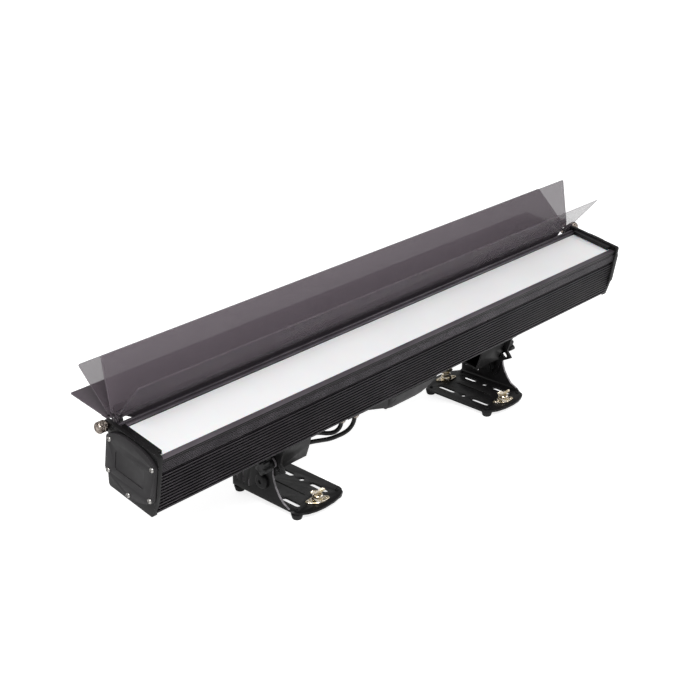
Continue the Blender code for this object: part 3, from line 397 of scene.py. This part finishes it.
def dress_packed_pieces():
    """Finishes of the housing, leaves, saddles, feet and inner pieces."""
    dress("housing_body", "anodised", 0.2, "anodised_edge_highlight")
    to_head = HEAD.inverted()
    for node, reach in (("retainer_front", BAR_OUTER_Y), ("retainer_rear", LIP_OUTER_Y)):
        bar = dress(node, "anodised", 0.3, "anodised_edge_highlight")
        # Faces of the bars that look up, within these depths, take the paler copy: painted light.
        bar.data.materials.append(FINISHES["bar_top_painted_light"])
        for face in bar.data.polygons:
            across = abs((to_head @ face.center).y)
            if LIP_INNER_Y < across < reach and (to_head.to_3x3() @ face.normal).z > 0.9:
                face.material_index = 2
    dress("diffuser_panel", "opal")
    dress("diffuser_gasket", "rubber")
    dress("led_board", "board")
    dress("light_tray", "tray")
    dress("driver_module", "driver")
    dress("control_box", "cover")
    dress("gland_block", "cover")
    dress("power_socket", "nylon")
    dress("data_socket", "nylon")
    for label, _ in SIDES:
        dress("end_plate_" + label, "coated", 0.35, "coated_edge_highlight")
        dress("end_cover_" + label, "cover", 0.4, "coated_edge_highlight")
        dress("saddle_" + label, "coated", 0.4, "coated_edge_highlight")
        foot = dress("foot_" + label, "coated", 0.4, "coated_edge_highlight")
        # The uprights' front sheet edges take the pale edge finish too: a painted highlight.
        for face in foot.data.polygons:
            upright = abs(face.center.x) > UPRIGHT_INNER and face.center.z > UPRIGHT_LOW
            if upright and face.normal.y < -0.3 and abs(face.normal.x) < 0.3:
                face.material_index = 1
        dress("hinge_nut_" + label, "black")
        dress("pivot_nut_" + label, "black")
        dress("clamp_nut_" + label, "black")
    for leaf, sheet in LEAF_SHEETS.items():
        dress("leaf_" + leaf, sheet, 0.15, "cut_edge")
        for label, _ in SIDES:
            # The clips take the low leaf's copy of the sheet, its painted shade included.
            dress("clip_" + leaf + "_" + label, "smoked_deep_painted_shade")


# Fine hardware


def shown(name, bm, finish, place, body, sharp=32.0):
    """Make a piece from a bmesh, place it and let it ride on its body."""
    bmesh.ops.recalc_face_normals(bm, faces=bm.faces)
    mesh = bpy.data.meshes.new(name)
    bm.to_mesh(mesh)
    bm.free()
    mesh.shade_smooth()
    mesh.set_sharp_from_angle(angle=math.radians(sharp))
    mesh.materials.append(FINISHES[finish])
    piece = bpy.data.objects.new(name, mesh)
    bpy.context.scene.collection.objects.link(piece)
    piece.matrix_world = place
    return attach(piece, body)


def hexagon(across):
    """Radius of a hexagon, by angle, from its width across flats."""
    return lambda a: 0.5 * across / math.cos((a + math.pi / 6) % (math.pi / 3) - math.pi / 6)


def lobes(mean, swing, number, start=0.0):
    """Radius of a soft-lobed outline, by angle."""
    return lambda a: mean + swing * math.cos(number * (a - start))


def close_body(bm, rings):
    """Join rings of vertices into a closed body with flat ends."""
    count = len(rings[0])
    for ring, nxt in zip(rings, rings[1:]):
        for i in range(count):
            j = (i + 1) % count
            bm.faces.new((ring[i], ring[j], nxt[j], nxt[i]))
    bm.faces.new(rings[0])
    bm.faces.new(rings[-1])


def add_turned(bm, rows, count, place=None):
    """Add a closed turned body along local Z; rows give (height, radius or radius by angle)."""
    place = place or Matrix.Identity(4)
    rings = []
    for height, radius in rows:
        ring = []
        for i in range(count):
            angle = 2.0 * math.pi * i / count
            r = radius(angle) if callable(radius) else radius
            point = Vector((r * math.cos(angle) * MM, r * math.sin(angle) * MM, height * MM))
            ring.append(bm.verts.new(place @ point))
        rings.append(ring)
    close_body(bm, rings)


def facing(side):
    """Turn local Z to point outward along X."""
    return Matrix.Rotation(side * math.pi / 2, 4, "Y")


def socket_screw(bm, place, radius, height, across, count=24):
    """Dome head with a hexagon socket, seated on local Z = 0."""
    add_turned(bm, [(0.0, radius), (0.15 * height, radius), (0.6 * height, 0.86 * radius),
                    (0.92 * height, 0.62 * radius), (height, hexagon(1.14 * across)),
                    (0.45 * height, hexagon(across)), (0.45 * height, 0.02)], count, place)


def head_screws():
    """Screws of the end covers, end plates, long sides and saddles."""
    spots = ((-37.8, -11.5), (37.8, -11.5), (-37.2, -54.8), (37.2, -54.8), (0.0, -69.0))
    for label, side in SIDES:
        bm = bmesh.new()
        for y, z in spots:
            place = Matrix.Translation((side * COVER_FACE, y * MM, z * MM)) @ facing(side)
            socket_screw(bm, place, 3.3, 1.9, 2.5)
        shown("cover_screws_" + label, bm, "bright", HEAD, "head_body")
        bm = bmesh.new()
        for y in (-38.5, 38.5):
            place = Matrix.Translation((side * END_FACE, y * MM, 2.8 * MM)) @ facing(side)
            socket_screw(bm, place, 2.3, 1.1, 1.7)
        shown("plate_screws_" + label, bm, "black", HEAD, "head_body")
        bm = bmesh.new()
        for x in (-419.0, -142.0, 142.0, 419.0):
            spot = Matrix.Translation((x * MM, side * 39.6 * MM, -19.9 * MM))
            socket_screw(bm, spot @ Matrix.Rotation(-side * math.pi / 2, 4, "X"), 2.0, 1.2, 1.5)
        shown("side_screws_" + ("front" if side < 0 else "rear"), bm, "black", HEAD, "head_body")
        bm = bmesh.new()
        for x in (190.0, 225.0):
            for y in (-26.2, 26.2):
                spot = Matrix.Translation((side * x * MM, y * MM, -83.05 * MM))
                socket_screw(bm, spot @ Matrix.Rotation(math.pi, 4, "X"), 3.0, 2.0, 2.5)
        shown("saddle_screws_" + label, bm, "black", HEAD, "head_body")


def thumbscrews():
    """Knurled thumbscrews of the hinge, with a collar and a dished end."""
    for label, side in SIDES:
        body = "thumbscrew_body_" + label
        place = HEAD @ Matrix.Translation((0.0, HINGE_Y, HINGE_Z)) @ facing(side)
        knurl = lobes(6.95, 0.28, 24)
        bm = bmesh.new()
        add_turned(bm, [(437.6, 2.1), (438.0, 2.3), (460.3, 2.3), (460.31, 4.4), (460.6, 4.6),
                        (461.9, 4.6), (461.91, 6.3), (462.4, 6.75), (462.9, knurl), (466.4, knurl),
                        (466.8, 6.5), (467.4, 6.5), (467.8, knurl), (471.9, knurl), (472.5, 6.7),
                        (473.2, 6.2), (473.3, 4.6), (472.7, 4.0), (472.6, 0.02)], 96, place)
        piece = shown("knurled_thumbscrew_" + label, bm, "brass", Matrix.Identity(4), body)
        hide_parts("thumbscrew_" + label)


def hinge_washers():
    """Thin washers between the hinge clips."""
    for label, side in SIDES:
        place = HEAD @ Matrix.Translation((0.0, HINGE_Y, HINGE_Z)) @ facing(side)
        bm = bmesh.new()
        for i in range(WASHER_COUNT):
            low = FIRST_WASHER - WASHER_STEP * i
            add_turned(bm, [(low, 3.5), (low + 0.1, 3.7), (low + 0.5, 3.7), (low + 0.6, 3.5)],
                       32, place)
        shown("hinge_washers_" + label, bm, "bright", Matrix.Identity(4), "head_body")


def tilt_knobs():
    """Five-lobed tilt knobs with a boss, a rounded grip and an inset cap."""
    for label, side in SIDES:
        axis = Vector(JOINTS["tilt_knob_turn_" + label]["pos_m"])
        place = Matrix.Translation((0.0, axis.y, axis.z)) @ facing(side)
        start = 0.0 if side > 0 else math.pi
        rows = [(230.6, 2.6), (231.0, 2.8), (242.0, 2.8), (242.01, 4.7), (242.4, 5.0),
                (248.2, 5.0), (248.21, lobes(6.2, 0.7, 5, start)),
                (248.9, lobes(7.8, 1.8, 5, start)), (250.2, lobes(8.5, 2.3, 5, start)),
                (258.4, lobes(8.5, 2.3, 5, start)), (259.8, lobes(7.9, 2.0, 5, start)),
                (260.6, lobes(6.4, 1.2, 5, start)), (260.8, 4.4), (260.4, 4.1), (260.4, 0.02)]
        bm = bmesh.new()
        add_turned(bm, rows, 80, place)
        piece = shown("lobed_knob_" + label, bm, "nylon", Matrix.Identity(4), "knob_body_" + label)
        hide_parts("tilt_knob_" + label)


def pivot_bolts():
    """Broad low heads of the tilt bolts with a shallow drive recess."""
    for label, side in SIDES:
        place = Matrix.Translation((0.0, PIVOT.y, PIVOT.z)) @ facing(side)
        rows = [(227.0, 4.6), (227.4, 4.9), (241.8, 4.9), (241.81, 10.2), (242.1, 10.5),
                (243.8, 10.5), (245.0, 10.2), (246.0, 9.5), (246.7, 8.2), (247.0, 6.6),
                (246.95, hexagon(5.4)), (245.6, hexagon(5.0)), (245.6, 0.02)]
        bm = bmesh.new()
        add_turned(bm, rows, 60, place)
        piece = shown("pivot_bolt_head_" + label, bm, "coated", Matrix.Identity(4),
                      "foot_body_" + label)
        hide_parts("pivot_bolt_" + label)


def arc(x, y, radius, start, end, steps):
    """Points of an arc in millimetres, angles in degrees, both ends included."""
    turns = [math.radians(start + (end - start) * i / steps) for i in range(steps + 1)]
    return [(x + radius * math.cos(a), y + radius * math.sin(a)) for a in turns]


def add_plate(bm, outline, low, high, edge, place=None):
    """Add a plate from an outline, with its rim broken by a small chamfer at both faces."""
    place = place or Matrix.Identity(4)
    count = len(outline)
    rings = []
    for height, inset in ((low, edge), (low + edge, 0.0), (high - edge, 0.0), (high, edge)):
        ring = []
        for i, point in enumerate(outline):
            before = Vector(outline[i - 1])
            after = Vector(outline[(i + 1) % count])
            along = (after - before).normalized()
            inward = Vector((-along.y, along.x)) * inset
            spot = Vector(point) + inward
            ring.append(bm.verts.new(place @ Vector((spot.x * MM, spot.y * MM, height * MM))))
        rings.append(ring)
    close_body(bm, rings)


def lock_hardware():
    """Quarter-turn locks: riveted two-eared cups and winged studs, in yellow zinc."""
    top = LOCK_SEAT
    for label, side in SIDES:
        for end, sign in (("front", -1.0), ("rear", 1.0)):
            name = label + "_" + end
            place = BASE @ Matrix.Translation((side * LOCK_X, sign * LOCK_Y, 0.0))
            place = place @ Matrix.Rotation(LOCK_TURN, 4, "Z")
            ears = []
            for half in (0.0, 180.0):
                ears += arc(0.0, 0.0, 9.4, half - 118.0, half - 62.0, 8)
                angle = math.radians(half)
                ears += arc(12.8 * math.cos(angle), 12.8 * math.sin(angle), 4.2, half - 62.0,
                            half + 62.0, 12)
            bm = bmesh.new()
            add_plate(bm, ears, top, top + 1.6, 0.25)
            add_turned(bm, [(7.7, 4.6), (7.7, 6.2), (7.9, 6.4), (top + 0.8, 6.4), (top + 1.6, 8.6),
                            (top + 2.2, 7.9), (top + 4.8, 7.7), (top + 6.0, 7.1), (top + 6.5, 6.2),
                            (top + 6.5, 4.6), (top + 5.6, 4.4), (top + 5.6, 4.1)], 48)
            for reach in (-12.8, 12.8):
                spot = Matrix.Translation((reach * MM, 0.0, 0.0))
                add_turned(bm, [(top + 1.5, 2.5), (top + 1.9, 2.4), (top + 2.4, 1.9),
                                (top + 2.65, 1.1), (top + 2.7, 0.02)], 24, spot)
            piece = shown("lock_cup_shell_" + name, bm, "zinc", place, "foot_body_" + label)
            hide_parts("lock_cup_" + name)
            lock_stud(name, place)


def lock_stud(name, place):
    """Stud with a collar, a pinched wing and a cross pin below the plate."""
    top = LOCK_SEAT
    bm = bmesh.new()
    add_turned(bm, [(3.0, 2.6), (3.4, 3.4), (4.0, 3.8), (top + 6.9, 3.8), (top + 6.91, 6.6),
                    (top + 7.3, 7.1), (top + 8.5, 7.1), (top + 9.4, 6.4), (top + 9.9, 5.0),
                    (top + 10.0, 0.02)], 48)
    wing = [(-3.0, 8.4), (3.0, 8.4), (4.6, 10.4), (6.4, 11.6), (8.6, 12.1)]
    wing += arc(8.7, 14.0, 1.9, -80.0, 95.0, 8)
    wing += [(7.4, 16.6), (5.4, 16.1), (3.2, 15.2), (0.0, 14.9)]
    wing += [(-u, v) for u, v in reversed(wing[2:-1])]
    upright = Matrix.Translation((0.0, 0.0, top * MM)) @ Matrix.Rotation(math.pi / 2, 4, "X")
    add_plate(bm, wing, -1.45, 1.45, 0.5, upright)
    pin = Matrix.Translation((0.0, 0.0, 5.5 * MM)) @ Matrix.Rotation(math.pi / 2, 4, "Y")
    add_turned(bm, [(-6.0, 0.9), (-5.7, 1.2), (5.7, 1.2), (6.0, 0.9)], 20, pin)
    piece = shown("winged_stud_" + name, bm, "zinc", place, "stud_body_" + name)
    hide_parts("lock_stud_" + name)


def foot_details():
    """Rubber sleeves round the pads and the screws that hold them."""
    for label, side in SIDES:
        pads = bmesh.new()
        screws = bmesh.new()
        for x, y in PAD_SPOTS:
            spot = Matrix.Translation((side * x, y, 0.0))
            add_turned(pads, [(0.0, 5.6), (0.15, 5.9), (0.8, 6.4), (3.6, 7.2), (6.6, 8.0),
                              (7.2, 8.05), (7.4, 7.9)], 40, spot)
            add_turned(screws, [(10.5, 2.8), (10.9, 2.8), (11.8, 2.4), (12.2, 1.8),
                                (12.15, hexagon(2.4)), (11.2, hexagon(2.2)), (11.2, 0.02)],
                       24, spot)
        shown("pad_sleeves_" + label, pads, "rubber", BASE, "foot_body_" + label)
        shown("pad_screws_" + label, screws, "black", BASE, "foot_body_" + label)


GLANDS = {
    "power_gland_box": (-101.0, -22.0, -80.4), "data_gland_box": (-124.5, -20.0, -80.4),
    "power_gland_head": (-213.0, -8.5, -76.4), "data_gland_head": (-215.0, 8.5, -76.4),
}


def glands():
    """Cable glands: hexagon body, domed clamping nut and a lip round the cable."""
    for name, (x, y, z) in GLANDS.items():
        bm = bmesh.new()
        down = Matrix.Translation((x * MM, y * MM, z * MM)) @ Matrix.Rotation(math.pi, 4, "X")
        add_turned(bm, [(-2.9, 4.2), (0.0, 4.2), (0.01, hexagon(12.1)), (0.5, hexagon(12.4)),
                        (4.4, hexagon(12.4)), (4.9, hexagon(12.1)), (5.0, 5.5), (5.6, 5.5),
                        (5.7, hexagon(11.6)), (9.4, hexagon(11.6)), (9.9, 5.8), (12.4, 5.4),
                        (13.9, 4.7), (14.5, 4.0), (14.4, 3.5), (10.6, 3.4), (10.6, 0.02)], 48, down)
        piece = shown("dome_" + name, bm, "brass", HEAD, "head_body")
        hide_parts(name)


BOX_CABLE_END = -91.2
HEAD_CABLE_END = -87.2
CABLE_ROUTES = {
    "cable_power": [
        (-101.0, -22.0, BOX_CABLE_END), (-101.0, -22.0, -97.0), (-102.5, -22.0, -104.8),
        (-107.5, -22.0, -110.6), (-116.5, -22.0, -113.6), (-129.0, -21.0, -114.6),
        (-142.0, -19.0, -115.0), (-155.0, -15.5, -114.1), (-167.0, -12.5, -112.8),
        (-180.0, -10.0, -111.5), (-193.0, -8.8, -109.0), (-204.5, -8.5, -104.0),
        (-211.5, -8.5, -97.5), (-213.0, -8.5, -92.0), (-213.0, -8.5, HEAD_CABLE_END)],
    "cable_data": [
        (-124.5, -20.0, BOX_CABLE_END), (-124.5, -20.0, -96.2), (-125.6, -20.0, -101.0),
        (-129.2, -19.8, -105.2), (-136.0, -18.8, -107.4), (-144.0, -15.2, -107.6),
        (-152.5, -9.8, -106.4), (-165.0, -3.0, -105.6), (-178.0, 2.5, -105.2),
        (-192.0, 6.2, -104.0), (-205.0, 8.0, -100.6), (-213.0, 8.5, -96.0),
        (-215.0, 8.5, -91.5), (-215.0, 8.5, HEAD_CABLE_END)],
}


def leads():
    """The two leads, smooth round jackets along their routes."""
    for name, route in CABLE_ROUTES.items():
        curve = bpy.data.curves.new(name + "_jacket", "CURVE")
        curve.dimensions = "3D"
        curve.bevel_depth = 3.0 * MM
        curve.bevel_resolution = 6
        curve.resolution_u = 12
        curve.use_fill_caps = True
        spline = curve.splines.new("BEZIER")
        spline.bezier_points.add(len(route) - 1)
        for knot, point in zip(spline.bezier_points, route):
            knot.co = [c * MM for c in point]
            knot.handle_left_type = knot.handle_right_type = "AUTO"
        curve.materials.append(FINISHES["cable"])
        piece = bpy.data.objects.new(name + "_jacket", curve)
        bpy.context.scene.collection.objects.link(piece)
        piece.matrix_world = HEAD
        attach(piece, "head_body")
        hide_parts(name)


# Studio


def floor_finish():
    """Seamless white paper: renders white to the camera but keeps the object's soft shadow."""
    made, tree, shader = new_finish("white_paper", "#cbcbcb", 0.9)
    path = add(tree, "ShaderNodeLightPath")
    mirrored = add(tree, "ShaderNodeMath", {1: 0.4}, {0: path.outputs["Is Glossy Ray"]},
                   operation="MULTIPLY")
    direct = add(tree, "ShaderNodeMath", operation="MAXIMUM",
                 links={0: path.outputs["Is Camera Ray"], 1: mirrored.outputs[0]})
    seen = add(tree, "ShaderNodeMath", operation="MAXIMUM",
               links={0: direct.outputs[0], 1: path.outputs["Is Transmission Ray"]})
    glow = add(tree, "ShaderNodeMath", {1: 0.8}, {0: seen.outputs[0]}, operation="MULTIPLY")
    shader.inputs["Emission Color"].default_value = (1.0, 1.0, 1.0, 1.0)
    tree.links.new(glow.outputs[0], shader.inputs["Emission Strength"])
    return made


def floor():
    """Floor sheet under the lamp."""
    bm = bmesh.new()
    half = 12.0
    below = -0.2 * MM
    corners = [(-half, -half), (half, -half), (half, half), (-half, half)]
    bm.faces.new([bm.verts.new((x, y, below)) for x, y in corners])
    mesh = bpy.data.meshes.new("paper_floor")
    bm.to_mesh(mesh)
    bm.free()
    mesh.materials.append(floor_finish())
    sheet = bpy.data.objects.new("paper_floor", mesh)
    bpy.context.scene.collection.objects.link(sheet)


def softbox(name, place, aim, size, power):
    """Large soft lamp that looks at a point."""
    light = bpy.data.lights.new(name, "AREA")
    light.shape = "RECTANGLE"
    light.size, light.size_y = size
    light.energy = power
    lamp = bpy.data.objects.new(name, light)
    lamp.location = place
    lamp.rotation_mode = "QUATERNION"
    lamp.rotation_quaternion = (Vector(aim) - Vector(place)).to_track_quat("-Z", "Y")
    bpy.context.scene.collection.objects.link(lamp)


def studio_light():
    """White surroundings and three soft lamps."""
    world = bpy.data.worlds.new("white_studio")
    bpy.context.scene.world = world
    world.use_nodes = True
    tree = world.node_tree
    back = tree.nodes["Background"]
    path = add(tree, "ShaderNodeLightPath")
    direct = add(tree, "ShaderNodeMath", operation="MAXIMUM",
                 links={0: path.outputs["Is Camera Ray"], 1: path.outputs["Is Transmission Ray"]})
    level = add(tree, "ShaderNodeMapRange", {"To Min": 0.45, "To Max": 1.0},
                {"Value": direct.outputs[0]})
    tree.links.new(level.outputs["Result"], back.inputs["Strength"])
    back.inputs["Color"].default_value = (1.0, 1.0, 1.0, 1.0)
    softbox("key_softbox", (-1.6, -1.4, 2.6), (0.0, 0.0, 0.1), (1.8, 1.2), 75.0)
    softbox("fill_softbox", (2.2, -1.6, 1.2), (0.0, 0.0, 0.1), (1.4, 1.4), 14.0)
    softbox("back_softbox", (0.4, 2.4, 1.9), (0.0, 0.0, 0.15), (2.4, 0.8), 10.0)


def camera():
    """Camera at the photograph's view of the lamp."""
    data = bpy.data.cameras.new("photo_camera")
    data.sensor_width = 36.0
    data.lens = 71.1
    data.clip_end = 60.0
    eye = bpy.data.objects.new("photo_camera", data)
    azimuth = math.radians(-47.11)
    height = math.radians(24.415)
    back = Vector((math.sin(azimuth) * math.cos(height), -math.cos(azimuth) * math.cos(height),
                   math.sin(height)))
    aim = Vector((-0.0016, 0.0702, 0.12)) + Vector((0.0, PIVOT.y, 0.0))
    distance = 1.9412
    eye.location = aim + back * distance
    eye.rotation_mode = "QUATERNION"
    eye.rotation_quaternion = (-back).to_track_quat("-Z", "Y")
    bpy.context.scene.collection.objects.link(eye)
    bpy.context.scene.camera = eye


dress_packed_pieces()
head_screws()
thumbscrews()
hinge_washers()
tilt_knobs()
pivot_bolts()
lock_hardware()
foot_details()
glands()
leads()
floor()
studio_light()
camera()
bpy.context.scene.view_settings.view_transform = "Standard"
